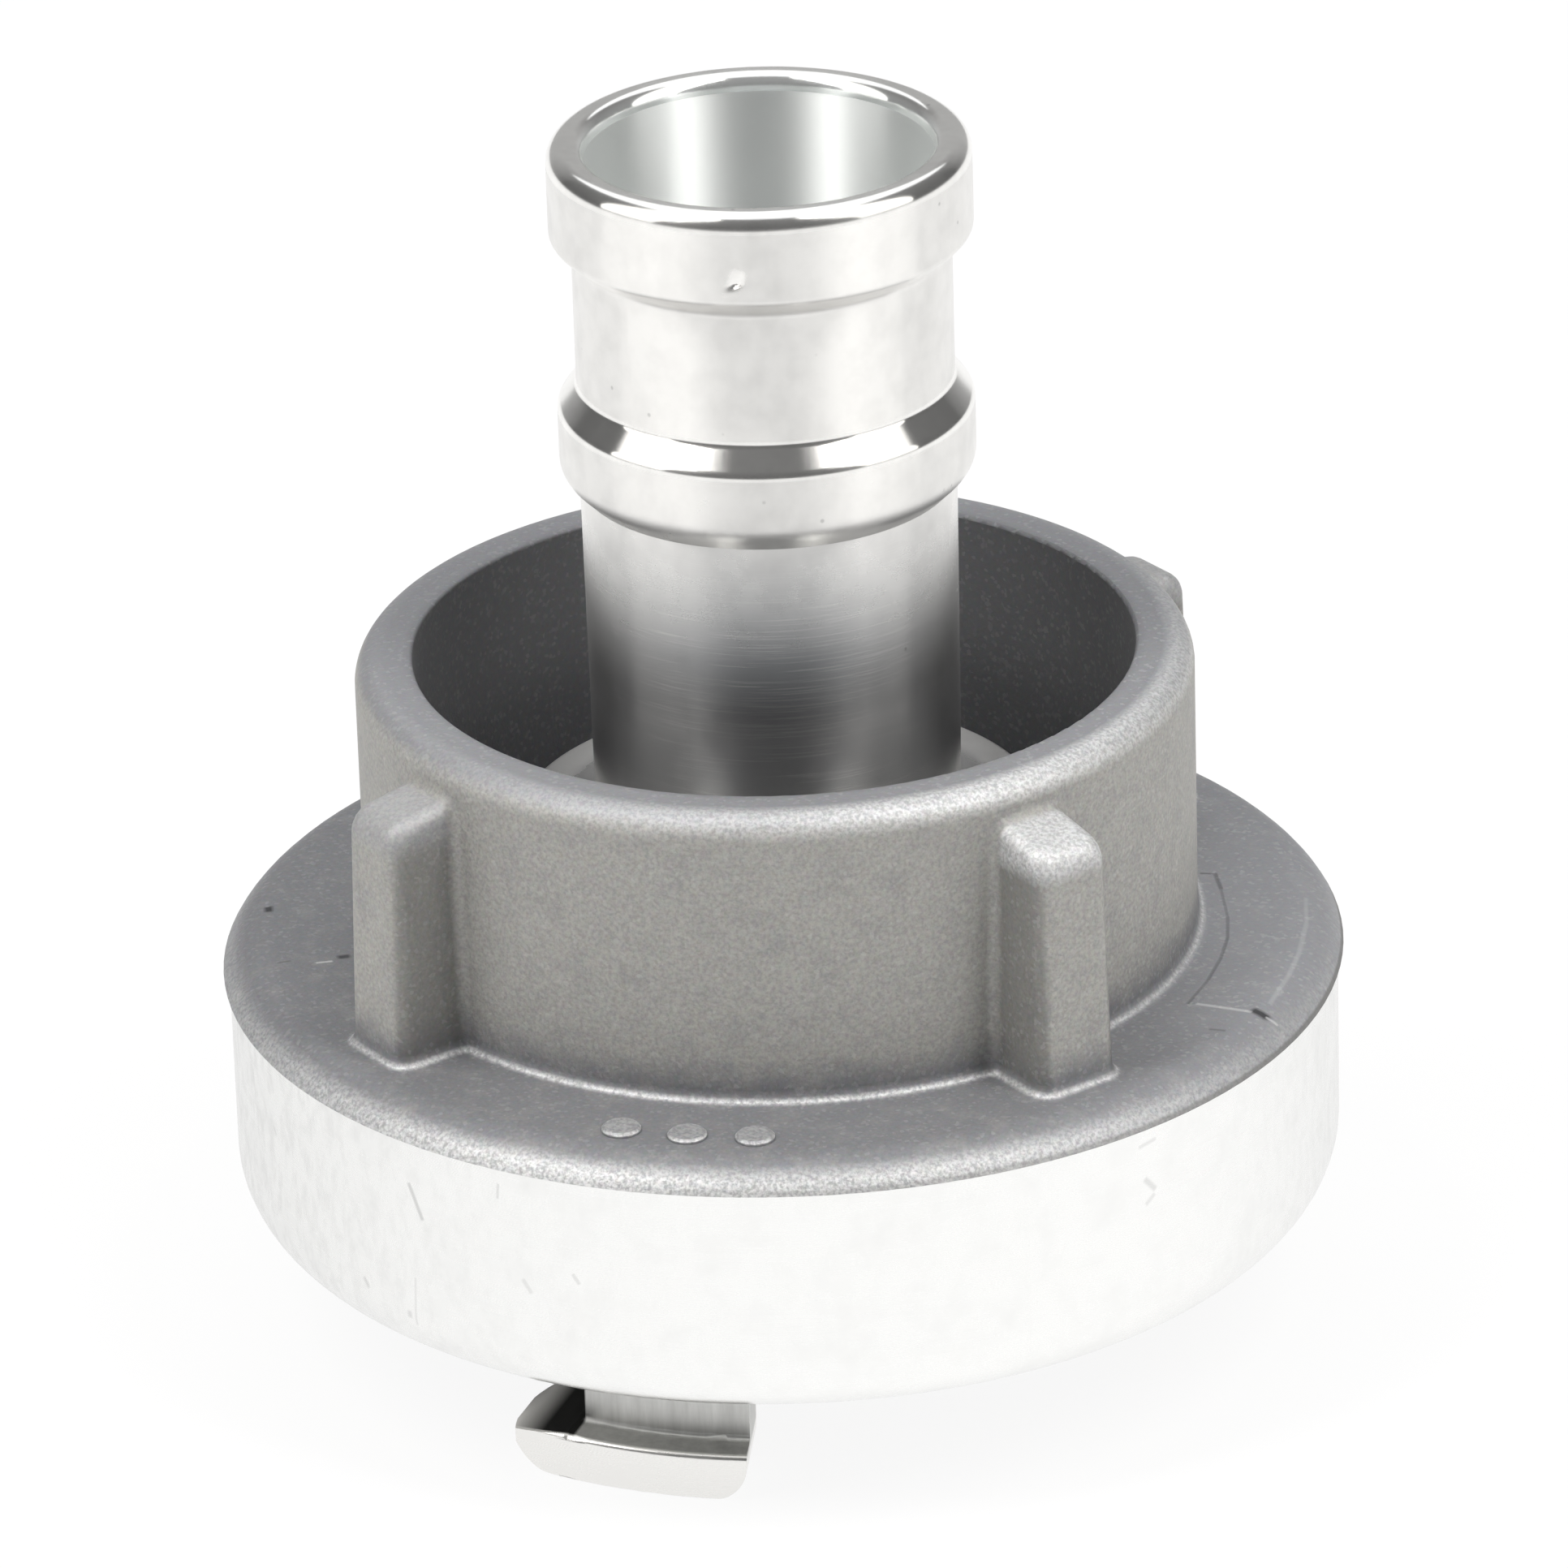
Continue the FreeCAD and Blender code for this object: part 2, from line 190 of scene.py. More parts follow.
class TailSizes(bpy.types.PropertyGroup):
    """Sizes of the turned tail, from its tip down to its front flange."""

    neck_wall: length("Neck wall", "Wall of the tail between its beads", 1.37 * MM)
    neck_taper: length("Neck taper", "How much thinner the lower neck is at its foot", 0.3 * MM)
    tip_bead_length: length("Tip bead length", "Length of the bead at the tip", 8.0 * MM)
    tip_rounding: length("Tip rounding", "Rounding of the tip's outer edge", 1.5 * MM)
    tip_inner_rounding: length("Tip inner rounding", "Rounding at the mouth of the bore", 1.2 * MM)
    bead_fall: length("Bead fall", "Length of the slope behind the tip bead", 1.6 * MM)
    second_bead_rise: length("Second bead rise", "Height of the second bead over the neck", 1.7 * MM)
    second_bead_drop: length("Second bead drop", "From the tip to the second bead's edge", 23.8 * MM)
    second_bead_length: length("Second bead length", "Length of the second bead's flat", 5.7 * MM)
    second_bead_shoulder: length("Second bead shoulder", "Height of its polished shoulder", 2.1 * MM)
    shoulder_edge: length("Shoulder edge", "Rounding between the shoulder and the flat", 1.2 * MM)
    shoulder_root: length("Shoulder root", "Rounding between the shoulder and the neck", 0.8 * MM)
    second_bead_heel: length("Second bead heel", "Rounding under the second bead", 2.3 * MM)
    journal_radius: length("Journal radius", "Radius of the journal that turns in the ring", 23.0 * MM)
    journal_height: length("Journal height", "From the claw tips to the journal's top", 47.0 * MM)
    thrust_height: length("Thrust height", "From the claw tips to the front flange's back", 23.4 * MM)
    edge_break: length("Edge break", "Small rounding of the turned edges", 0.5 * MM)
    inlet_wall: length("Inlet wall", "Wall between the inlet and the gasket groove", 2.2 * MM)
    inlet_depth: length("Inlet depth", "Length of the inlet's taper", 22.0 * MM)
    nick_angle: rotation("Nick angle", "Where the nick in the tip bead lies", 13.5)
    nick_drop: length("Nick drop", "From the tip down to the nick", 6.1 * MM)
    nick_depth: length("Nick depth", "Depth of the nick", 0.32 * MM)


class SealSizes(bpy.types.PropertyGroup):
    """Sizes of the gasket and the spring ring and of their grooves."""

    gasket_catch: length("Gasket catch", "How far the flange's catch reaches over the gasket", 1.0 * MM)
    gasket_catch_height: length("Gasket catch height", "Thickness of the catch", 2.0 * MM)
    gasket_foot_height: length("Gasket foot height", "Height of the gasket's held foot", 3.0 * MM)
    gasket_clearance: length("Gasket clearance", "Gap between gasket and groove", 0.05 * MM)
    gasket_rounding: length("Gasket rounding", "Rounding of the sealing lip", 0.8 * MM)
    wire_radius: length("Wire radius", "Radius of the spring wire", 1.0 * MM)
    wire_bite: length("Wire bite", "How deep the wire sits in its groove", 1.0 * MM)
    groove_gap: length("Groove gap", "Room round the wire in its groove", 0.1 * MM)
    split_angle: rotation("Split angle", "Opening of the split ring", 24.0)


class FinishColours(bpy.types.PropertyGroup):
    """Colours and roughness of the finishes."""

    cast_cool: colour("Cool cast skin", "Blasted skin of the flange and the edges", (0.228, 0.231, 0.245))
    cast_warm: colour("Warm cast skin", "Blasted skin of the walls", (0.42, 0.4125, 0.386))
    # Pale skin for the painted highlights and wear on the edges, and for the scrapes.
    pale_highlight_and_wear: colour("Worn cast skin", "Paler skin where edges were handled", (0.725, 0.73, 0.73))
    cast_metallic: share("Cast metallic", "How much of the blasted skin shines as metal", 0.45)
    machined: colour("Machined", "Fresh machined aluminium", (0.985, 0.985, 0.972))
    claw_neck: colour("Claw neck", "Dull metal between claw and ring", (0.74, 0.74, 0.72))
    turned: colour("Turned", "Bright turned aluminium of the tail", (0.975, 0.965, 0.94))
    # Painted shade of the lower neck, where the sleeve keeps the light off it.
    painted_neck_shade: colour("Sheltered neck", "Lower neck, shaded by the sleeve", (0.22, 0.24, 0.27))
    bored: colour("Bored", "Inside of the tail's bore", (0.96, 0.978, 0.97))
    steel: colour("Spring steel", "Drawn spring wire", (0.42, 0.42, 0.43))
    rubber: colour("Rubber", "Black sealing rubber", (0.018, 0.018, 0.019))
    cast_roughness: share("Cast roughness", "Roughness of the cast skin", 0.6)
    machined_roughness: share("Machined roughness", "Roughness of the turned band", 0.28)
    turned_roughness: share("Turned roughness", "Roughness of the tail's beads", 0.29)
    bored_roughness: share("Bored roughness", "Roughness inside the bore", 0.52)
    polished_roughness: share("Polished roughness", "Roughness of shoulder and lip", 0.14)
    nick_roughness: share("Nick roughness", "Roughness of the bright metal by the nick", 0.12)
    lathe_grain: share("Lathe grain", "How far turned metal spreads light along its axis", 0.98)


class StudioSettings(bpy.types.PropertyGroup):
    """Camera, floor and lamps."""

    camera_azimuth: rotation("Camera azimuth", "Where the camera stands, from -Y towards +X", 21.0)
    camera_elevation: rotation("Camera elevation", "How far the camera looks down", 25.69)
    camera_roll: rotation("Camera roll", "Lean of the picture", -1.78)
    camera_distance: length("Camera distance", "From the camera to the aim point", 0.95)
    aim_height: length("Aim height", "Height of the aim point on the axis", 33.7 * MM)
    lens: bpy.props.FloatProperty(name="Lens", description="Focal length on a 36 mm sensor", default=246.6)
    floor_size: length("Floor size", "Side of the floor", 12.0)
    floor_white: share("Floor white", "How white the floor is by itself", 0.9)
    floor_paint: share("Floor paint", "Grey of the floor under the lamps", 0.9)
    room_front: share("Room front", "Grey of the room near the horizon", 0.09)
    room_high: share("Room high", "Grey of the room overhead", 0.2)
    backdrop: share("Backdrop", "Grey of the pale backdrop behind the coupling", 0.42)
    lamp_aim: length("Lamp aim", "Height on the axis that the lamps face", 60.0 * MM)
    lamp_brightness: bpy.props.FloatProperty(
        name="Lamp brightness", description="Radiance of the soft lamps, 1 being the white of the picture",
        default=1.2,
    )


TAIL_AIM_PIXEL = (958.93, 1161.18)
PHOTO_SIDE_PIXELS = 1932
SENSOR_WIDTH = 36.0

WARM_LIGHT = (1.0, 0.985, 0.965)
COOL_LIGHT = (0.965, 0.98, 1.0)

# Soft lamps: name, azimuth from the camera's own and elevation in degrees, distance, width, height,
# strength and tint.
LAMPS = (
    ("left_softbox", -75, 38, 1.5, 1.05, 1.95, 1.1, WARM_LIGHT),
    ("left_strip", -59, 56, 1.25, 0.24, 0.7, 10.8, WARM_LIGHT),
    ("right_softbox", 70, 38, 1.5, 1.05, 1.95, 1.1, WARM_LIGHT),
    ("right_strip", 57, 56, 1.25, 0.28, 0.7, 8.8, WARM_LIGHT),
    ("top_softbox", 180, 68, 1.2, 1.0, 1.6, 0.9, COOL_LIGHT),
)


class Value:
    """A socket of a material's node tree; arithmetic on it adds Math nodes."""

    def __init__(self, graph, socket):
        self.graph = graph
        self.socket = socket

    def output(self, name):
        """Another output of the node that this value comes from."""
        return Value(self.graph, self.socket.node.outputs[name])

    def maths(self, operation, *others, clamp=False):
        """The result of a Math node on this value and the others."""
        return self.graph.node("Math", {"operation": operation, "use_clamp": clamp}, [self, *others])

    def __add__(self, other):
        return self.maths("ADD", other)

    def __sub__(self, other):
        return self.maths("SUBTRACT", other)

    def __mul__(self, other):
        return self.maths("MULTIPLY", other)

    def __truediv__(self, other):
        return self.maths("DIVIDE", other)

    def __pow__(self, other):
        return self.maths("POWER", other)

    def __rsub__(self, other):
        return self.graph.node("Math", {"operation": "SUBTRACT"}, [other, self])

    __radd__ = __add__

    def above(self, edge, width):
        """0 below an edge and 1 above it, with a straight ramp of the given width between."""
        return self.maths("MULTIPLY_ADD", 1 / width, 0.5 - edge / width, clamp=True)

    def below(self, edge, width):
        """1 below an edge and 0 above it, with a straight ramp of the given width between."""
        return self.maths("MULTIPLY_ADD", -1 / width, 0.5 + edge / width, clamp=True)


def opaque(tone):
    """A colour or a grey with full alpha; a value is left as it is."""
    if isinstance(tone, Value):
        return tone
    return (*tone, 1.0) if hasattr(tone, "__len__") else (tone, tone, tone, 1.0)


def shaded(tone, factor):
    """A colour made darker by a factor below 1 or paler by one above it."""
    return tuple(factor * part for part in tone)


class Graph:
    """The node tree of a material or a world, built from an empty tree."""

    def __init__(self, owner):
        owner.use_nodes = True
        self.tree = owner.node_tree
        self.tree.nodes.clear()

    def node(self, kind, settings=None, sockets=(), output=0):
        """A new node: its settings are set first, then its sockets, by place or by name.

        A ramp's stops are given as the setting "stops", pairs of a place and a grey or a colour.
        """
        made = self.tree.nodes.new("ShaderNode" + kind)
        for name, value in (settings or {}).items():
            if name == "stops":
                self.fill_ramp(made.color_ramp, value)
            else:
                setattr(made, name, value)
        pairs = sockets.items() if isinstance(sockets, dict) else enumerate(sockets)
        for place, value in pairs:
            if isinstance(value, Value):
                self.tree.links.new(value.socket, made.inputs[place])
            else:
                made.inputs[place].default_value = value
        return Value(self, made.outputs[output]) if made.outputs else None

    @staticmethod
    def fill_ramp(ramp, stops):
        """Gives a colour ramp its stops."""
        while len(ramp.elements) < len(stops):
            ramp.elements.new(1.0)
        for element, (place, tone) in zip(ramp.elements, stops):
            element.position = place
            element.color = opaque(tone)

    def point(self):
        """The point of the surface in the piece's own frame."""
        return self.node("TexCoord", output="Object")

    def noise(self, point, scale, detail, roughness):
        """Smooth noise round 0.5 with this many features in a metre."""
        sockets = {"Vector": point, "Scale": scale, "Detail": detail, "Roughness": roughness}
        return self.node("TexNoise", sockets=sockets)

    def streaks(self, point, across, along, detail, roughness):
        """Noise with one number of features in a metre of X and Y and another in a metre of Z."""
        stretched = self.node("VectorMath", {"operation": "MULTIPLY"}, [point, (across, across, along)])
        return self.noise(stretched, 1.0, detail, roughness)

    def mix(self, share_of_second, first, second):
        """A colour between two colours."""
        sockets = {0: share_of_second, 6: opaque(first), 7: opaque(second)}
        return self.node("Mix", {"data_type": "RGBA"}, sockets, 2)

    def coated(self, tone, *coats):
        """A colour under coats, each a share and a colour, the later ones over the earlier."""
        for cover, coat in coats:
            tone = self.mix(cover, tone, coat)
        return tone

    def blend(self, share_of_second, first, second):
        """A number between two numbers or values."""
        return self.node("Mix", {"data_type": "FLOAT"}, {0: share_of_second, 2: first, 3: second})

    def stroke(self, plane, start, end, width):
        """1 on a straight stroke between two points of a plane of two coordinates, 0 away from it."""
        first, second = plane
        reach = max(math.dist(start, end), 0.01 * MM)
        cos, sin = (end[0] - start[0]) / reach, (end[1] - start[1]) / reach
        along = (first - start[0]) * cos + (second - start[1]) * sin - reach / 2
        across = (second - start[1]) * cos - (first - start[0]) * sin
        ends = along.maths("ABSOLUTE").below((reach + width) / 2, width / 2)
        return ends * across.maths("ABSOLUTE").below(width / 2, width / 2)

    def marks(self, plane, rows):
        """The strongest of several strokes, given as rows of start, end, width and strength."""
        most = None
        for start, end, width, strength in rows:
            ends = [tuple(part * MM for part in point) for point in (start, end)]
            stroke = self.stroke(plane, *ends, width * MM) * strength
            most = stroke if most is None else most.maths("MAXIMUM", stroke)
        return most

    def bump(self, height, distance):
        """A normal from a height map, whose full height is the distance in metres."""
        return self.node("Bump", sockets={"Distance": distance, "Height": height})

    def surface(self, **sockets):
        """Ends the tree in a Principled shader with these sockets."""
        named = {name.replace("_", " "): value for name, value in sockets.items()}
        shader = self.node("BsdfPrincipled", sockets=named)
        self.node("OutputMaterial", sockets=[shader])


class Spot:
    """Where a point of the surface lies: its height, its distance from the axis and its angle round it."""

    def __init__(self, graph):
        self.point = graph.point()
        parts = graph.node("SeparateXYZ", sockets=[self.point])
        self.x, self.y, self.high = (parts.output(name) for name in "XYZ")
        self.radius = (self.x * self.x + self.y * self.y) ** 0.5
        self.angle = self.x.maths("ARCTAN2", self.y * -1.0)

    def towards(self, angle):
        """1 on the side that lies at an angle round the axis, 0 on the side away from it."""
        return (self.x * math.sin(angle) - self.y * math.cos(angle)) / self.radius * 0.5 + 0.5


def rib_side_shade(spot):
    """Painted shade on the sides of the four ribs: 1 there, 0 elsewhere.

    Folded into one quarter turn, a rib's sides lie half its width away from its middle plane.
    """
    quarter = math.pi / 4
    folded = (spot.angle - RIB_ANGLE).maths("WRAP", quarter, -quarter)
    aside = (spot.radius * folded.maths("SINE")).maths("ABSOLUTE")
    beside = aside.above(RIB_TOP_SIDE, 0.5 * MM) * aside.below(RIB_ROOT_SIDE, 0.8 * MM)
    clear = spot.radius.above(SLEEVE_OUTER + 0.6 * MM, 0.8 * MM)
    return beside * clear * spot.high.above(FLANGE_TOP + 0.8 * MM, 0.8 * MM)


def cast_highlights_and_wear(spot, rib_tops, mottle):
    """How far the skin is painted pale by highlights and some wear: flange edge, rim, rib tops, sleeve's
    foot.

    The edge is brightest on one side, the rim and the ribs on another, and all of it is mottled.
    """
    high, radius = spot.high, spot.radius
    # Painted highlights with some wear: edge, rim and rib tops on their bright sides, a line at the foot.
    edge = high.below(BAND_TOP + 1.5 * MM, 1 * MM) * radius.above(FLANGE_ROUNDING, 1 * MM)
    edge = edge * (spot.towards(EDGE_HIGHLIGHT_SIDE) ** 3.0 * 0.92 + 0.06)
    rim = high.above(RING_HIGH.z - 1.7 * MM, 1 * MM) * radius.above(SLEEVE_OUTER - 2.2 * MM, 1.2 * MM)
    rim = (rim + rib_tops) * (spot.towards(RIM_HIGHLIGHT_SIDE) ** 3.0 * 0.82 + 0.08)
    foot = high.above(FLANGE_TOP + 0.12 * MM, 0.16 * MM) * high.below(FLANGE_TOP + 0.42 * MM, 0.36 * MM)
    foot = foot * radius.above(SLEEVE_OUTER - 1 * MM, 1 * MM) * 0.85
    return (edge + rim + foot).maths("MINIMUM", 1.0) * (0.35 + mottle.above(0.5, 0.24) * 0.65)


def cast_skin(graph, spot):
    """Shot-blasted aluminium, mottled and flecked: warm on the walls, cooler on the flange and the rim.

    The ribs' sides and the inside of the sleeve carry painted shade, and the seam over the band is darker.
    Painted highlights with some pale wear lie on the edges, rim and rib tops, the flange is painted
    paler on one side and has nicks and scrapes. It gives colour, roughness and height.
    """
    finish = bpy.context.scene.coupling_finish
    cool, warm, highlight_and_wear_tone = finish.cast_cool, finish.cast_warm, finish.pale_highlight_and_wear
    point, high, radius = spot.point, spot.high, spot.radius
    mottle = graph.noise(point, scale=2900.0, detail=3.0, roughness=0.65)
    clouds = graph.noise(point, scale=330.0, detail=3.0, roughness=0.6)
    cells = graph.node("TexVoronoi", sockets={"Vector": point, "Scale": 3000.0}, output="Color")
    fleck = graph.node("SeparateColor", sockets=[cells]).above(0.9, 0.16)
    grains = graph.noise(point, scale=2200.0, detail=2.0, roughness=0.5).output("Color")
    walls = high.above(BAND_TOP + 5 * MM, 3.5 * MM)
    flange = high.below(FLANGE_TOP + 0.5 * MM, 1 * MM)
    below_walls = high.below(BAND_TOP + 5 * MM, 1 * MM)
    rim_flat = high.above(RING_HIGH.z - 1 * MM, 0.8 * MM)
    inside = radius.below(SLEEVE_INNER + 0.5 * MM, 1 * MM)
    rib_tops = high.above(RING_HIGH.z - 6.5 * MM, 1.5 * MM)
    rib_tops = rib_tops * radius.above(SLEEVE_OUTER + 0.7 * MM, 0.6 * MM)
    seam_side = spot.towards(SEAM_SIDE)
    seam = high.below(BAND_TOP + 0.4 * MM, 0.2 * MM) * seam_side**2.0
    highlit_and_worn = cast_highlights_and_wear(spot, rib_tops, mottle)
    flecked = fleck * (seam_side**4.0 * 0.05 + 0.12) * (1.0 - highlit_and_worn)
    nicks = graph.marks((spot.x, spot.y), FLANGE_NICKS) * below_walls
    scrapes = graph.marks((spot.x, spot.y), FLANGE_SCRAPES) * below_walls
    tone = graph.coated(
        cool,
        (walls + (clouds - 0.5) * 1.3, warm),
        (mottle.below(0.49, 0.3) * 0.42, shaded(cool, 0.6)),
        # Painted light: the flange is painted paler on the side towards the right-hand lamps.
        (flange * seam_side**8.0 * 0.4, shaded(cool, 2.0)),
        (rim_flat, shaded(cool, 1.1)),
        # Painted shade inside the sleeve.
        (inside, shaded(cool, 0.88)),
        # Painted shade on the ribs' sides.
        (rib_side_shade(spot) * 0.5, shaded(warm, 0.3)),
        (rib_tops * 0.6, shaded(cool, 1.3)),
        # Painted highlights with pale wear on the edges, rim, rib tops and the sleeve's foot.
        (highlit_and_worn + flecked, highlight_and_wear_tone),
        (0.06, grains),
        (seam * 0.7, shaded(warm, 0.4)),
        (nicks, shaded(cool, 0.25)),
        (scrapes, highlight_and_wear_tone),
    )
    rough = finish.cast_roughness + (mottle - 0.5) * 0.2 - highlit_and_worn * 0.12
    return tone, rough, mottle * 0.8 + fleck * 0.2 - nicks


def machined_skin(graph, spot):
    """Aluminium cut on a lathe: fine rings, faint smudges, band scratches, painted shade in wisps at two
    sides.

    The claws are a little duller than the band, and their necks are streaked, with painted shade past
    their end.
    It gives colour, roughness and height.
    """
    finish = bpy.context.scene.coupling_finish
    bright, dull = finish.machined, finish.claw_neck
    point, high = spot.point, spot.high
    rings = graph.streaks(point, across=90.0, along=7000.0, detail=2.0, roughness=0.5)
    smudges = graph.noise(point, scale=260.0, detail=4.0, roughness=0.6)
    wisps = graph.streaks(point, across=800.0, along=400.0, detail=4.0, roughness=0.65)
    wisps = wisps.above(0.54, 0.2) * 0.22 + 0.38
    # Painted shade: the band darkens in wisps towards its two sides, where it turns away from the camera.
    band_side_shade = spot.towards(BAND_SHADE_SIDE) ** 4.0 + spot.towards(SEAM_SIDE) ** 16.0 * 0.6
    scratches = graph.marks((spot.angle * RING_HIGH.x, high), BAND_SCRATCHES)
    drawn = graph.streaks(point, across=1400.0, along=160.0, detail=3.0, roughness=0.6)
    # Past the neck's end, under the ring, the claw is painted nearly black as shade.
    shade_past_neck = (spot.x * (spot.y * -1.0).maths("SIGN")).below(CLAW_NECK_SIDE, 0.3 * MM)
    neck = high.above(CLAW_LEDGE - 0.5 * MM, 0.4 * MM) * high.below(BAND_BOTTOM - 0.1 * MM, 0.1 * MM)
    neck = neck * spot.radius.below(CLAW_OUTER - 0.4 * MM, 0.2 * MM)
    claws = high.below(BAND_BOTTOM - 1 * MM, 1 * MM)
    tone = graph.coated(
        bright,
        (smudges.above(0.62, 0.3) * 0.3, shaded(bright, 0.88)),
        (wisps * band_side_shade, shaded(bright, 0.5)),
        (scratches, shaded(bright, 0.55)),
        (claws, shaded(finish.turned, 0.9)),
        (neck, graph.coated(shaded(dull, 0.6), (drawn, dull), (shade_past_neck, shaded(dull, 0.03)))),
    )
    rough = finish.machined_roughness + (smudges - 0.5) * 0.12 + (rings - 0.5) * 0.1
    return tone, rough + neck * (0.15 + shade_past_neck * 0.3), rings


def casting_finish():
    """The finish of the claw ring: cast skin above the turned band, cut metal from the band down."""
    material = bpy.data.materials.new("cast_and_machined_aluminium")
    graph = Graph(material)
    spot = Spot(graph)
    cast = spot.high.above(BAND_TOP - 0.04 * MM, 0.03 * MM)
    cast_tone, cast_rough, cast_height = cast_skin(graph, spot)
    cut_tone, cut_rough, cut_height = machined_skin(graph, spot)
    height = graph.blend(cast, cut_height * 0.05, cast_height)
    graph.surface(
        Base_Color=graph.mix(cast, cut_tone, cast_tone),
        Roughness=graph.blend(cast, cut_rough, cast_rough),
        Metallic=1.0 - cast * (1.0 - bpy.context.scene.coupling_finish.cast_metallic),
        Normal=graph.bump(height, 0.06 * MM),
    )
    return material


def polished_places(spot, sizes):
    """1 on the second bead's shoulder and on the tip's lip, 0 elsewhere on the tail."""
    shoulder_bottom = TAIL_HIGH.z - sizes.second_bead_drop
    shoulder_top = shoulder_bottom + sizes.second_bead_shoulder
    shoulder = spot.high.above(shoulder_bottom - 0.4 * MM, 0.3 * MM)
    shoulder = shoulder * spot.high.below(shoulder_top + 0.3 * MM, 0.3 * MM)
    lip = spot.high.above(TAIL_HIGH.z - sizes.tip_rounding, 0.3 * MM)
    return shoulder.maths("MAXIMUM", lip)


def nick_shine(graph, spot, sizes):
    """1 on the metal that the nick has pushed up, a short stroke on its tip side, 0 elsewhere."""
    around, up = sizes.nick_angle * HOSE_SEAT_RADIUS, TAIL_HIGH.z - sizes.nick_drop
    start = (around + SHINE_START[0], up + SHINE_START[1])
    end = (around + SHINE_END[0], up + SHINE_END[1])
    return graph.stroke((spot.angle * HOSE_SEAT_RADIUS, spot.high), start, end, SHINE_WIDTH)


def turned_finish():
    """The finish of the tail: satin metal with fine rings, smears and specks, polished shoulder and lip.

    The lower neck has painted shade on the side that the sleeve shades, and the bore is rougher and
    cooler.
    """
    finish = bpy.context.scene.coupling_finish
    sizes = bpy.context.scene.coupling_tail
    bright = finish.turned
    material = bpy.data.materials.new("turned_aluminium")
    graph = Graph(material)
    spot = Spot(graph)
    point, high, radius = spot.point, spot.high, spot.radius
    rings = graph.streaks(point, across=110.0, along=9000.0, detail=2.0, roughness=0.55)
    mottle = graph.noise(point, scale=420.0, detail=3.0, roughness=0.55)
    smears = graph.streaks(point, across=230.0, along=110.0, detail=3.0, roughness=0.6)
    polished = polished_places(spot, sizes)
    neck = high.below(RING_HIGH.z + 9 * MM, 20 * MM) * radius.below(HOSE_SEAT_RADIUS + 1 * MM, 1 * MM)
    # Painted shade on the lower neck, on the side that the sleeve keeps the light from.
    painted_neck_shade = neck * (1.0 - high.below(RING_HIGH.z + 2 * MM, 6 * MM) * 0.6)
    painted_neck_shade = painted_neck_shade * spot.towards(NECK_SHADE_SIDE) ** 6.0
    bored = radius.below(BORE_RADIUS + 0.4 * MM, 0.5 * MM)
    below_neck = radius.above(HOSE_SEAT_RADIUS + 1.5 * MM, 1 * MM)
    cells = graph.node("TexVoronoi", sockets={"Vector": point, "Scale": 260.0})
    chosen = graph.node("SeparateColor", sockets=[cells.output("Color")]).above(0.55, 0.1)
    specks = cells.below(0.045, 0.03) * chosen
    tone = graph.coated(
        bright,
        (mottle.above(0.55, 0.3) * 0.45, shaded(bright, 0.88)),
        (smears.above(0.58, 0.2) * 0.35, shaded(bright, 0.84)),
        (painted_neck_shade, finish.painted_neck_shade),
        # Painted glints: turned rings left bright through the neck's painted shade.
        (neck * rings.above(0.62, 0.12) * 0.5, bright),
        (bored, finish.bored),
        (specks * (1.0 - bored) * 0.4, shaded(bright, 0.35)),
    )
    satin = graph.blend(neck, finish.turned_roughness, 0.85 * finish.turned_roughness)
    satin = graph.blend(bored, satin, finish.bored_roughness)
    satin = satin + (mottle - 0.5) * 0.06 + (rings - 0.5) * 0.02
    rough = graph.blend(polished, satin, finish.polished_roughness)
    graph.surface(
        Base_Color=tone,
        Roughness=graph.blend(nick_shine(graph, spot, sizes) * 0.7, rough, finish.nick_roughness),
        Metallic=1.0 - bored.maths("MAXIMUM", below_neck) * 0.15,
        Anisotropic=finish.lathe_grain,
        Anisotropic_Rotation=0.25,
        Normal=graph.bump(rings * (1.0 - polished * 0.9), 0.0003 * MM),
    )
    return material


def steel_finish():
    """Drawn spring steel, darker and rougher in small places."""
    finish = bpy.context.scene.coupling_finish
    material = bpy.data.materials.new("spring_steel")
    graph = Graph(material)
    drawn = graph.noise(graph.point(), scale=1800.0, detail=3.0, roughness=0.6)
    graph.surface(
        Base_Color=graph.mix(drawn.above(0.55, 0.2), finish.steel, shaded(finish.steel, 0.6)),
        Roughness=0.28 + (drawn - 0.5) * 0.2,
        Metallic=1.0,
        Normal=graph.bump(drawn, 0.01 * MM),
    )
    return material


def rubber_finish():
    """Matt black moulded rubber with a faint bloom."""
    finish = bpy.context.scene.coupling_finish
    material = bpy.data.materials.new("black_rubber")
    graph = Graph(material)
    point = graph.point()
    bloom = graph.noise(point, scale=240.0, detail=4.0, roughness=0.6)
    grain = graph.noise(point, scale=3200.0, detail=2.0, roughness=0.5)
    graph.surface(
        Base_Color=graph.mix(bloom.above(0.55, 0.3), finish.rubber, shaded(finish.rubber, 2.4)),
        Roughness=0.55 + (bloom - 0.5) * 0.2,
        Normal=graph.bump(grain, 0.02 * MM),
    )
    return material


def unit(vectors):
    """The vectors with their length made 1."""
    return vectors / np.linalg.norm(vectors, axis=-1, keepdims=True)


